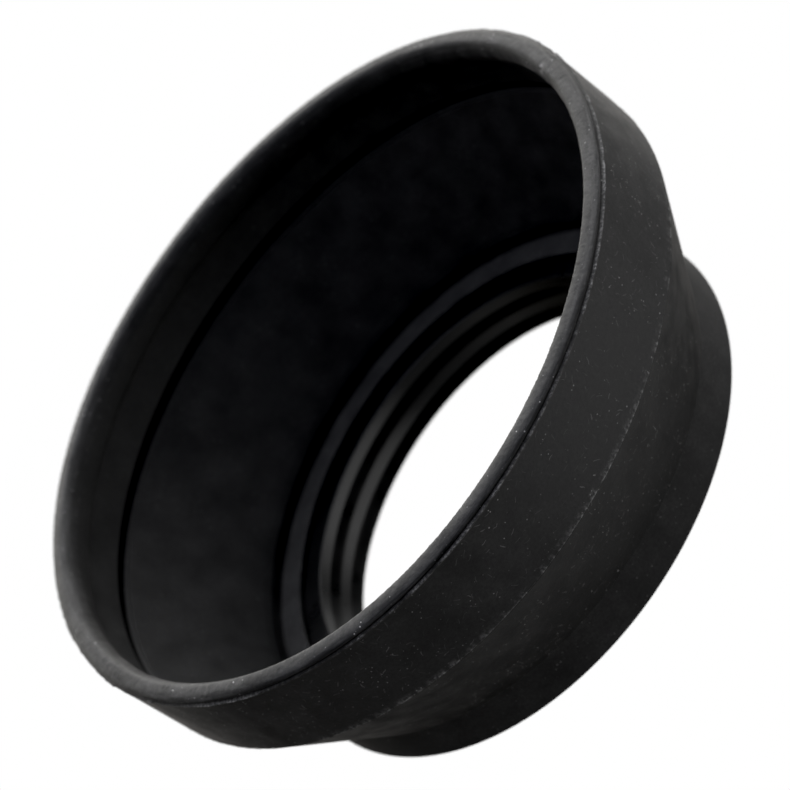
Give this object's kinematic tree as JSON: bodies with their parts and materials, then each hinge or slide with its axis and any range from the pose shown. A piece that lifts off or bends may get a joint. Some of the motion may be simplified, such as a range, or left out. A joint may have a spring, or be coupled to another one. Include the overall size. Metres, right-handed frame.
{
  "type": "rubber lens hood",
  "caption": "Folding rubber lens hood: a flared skirt on a conical web that turns inside out over its collar, gripped on a threaded metal mount ring.",
  "frame": {"origin": "on the optical axis, in the plane of the mount thread's rear end", "axes": "+Z along the optical axis, out of the hood's front; the hood is the same all round, so +X and +Y are any two radial directions"},
  "size_m": [0.078, 0.078, 0.0329],
  "materials": {
    "rubber": "matte black, faintly dusty",
    "anodised_metal": "satin black anodised"
  },
  "bodies": {
    "base": {"base_collar": "rubber", "mount_ring": "anodised_metal"},
    "web": {"fold_web": "rubber"},
    "skirt": {"front_skirt": "rubber"}
  },
  "joints": [
    {"name": "fold_back", "type": "slide", "parent": "base", "child": "skirt", "axis": [0, 0, -1], "range_m": [0, 0.0266]},
    {"name": "web_turn", "type": "slide", "parent": "base", "child": "web", "axis": [0, 0, -1], "range_m": [0, 0.0133], "deforming": ["fold_web"]}
  ],
  "couplings": [
    {"joint": "web_turn", "follows": "fold_back", "ratio": 0.5}
  ]
}
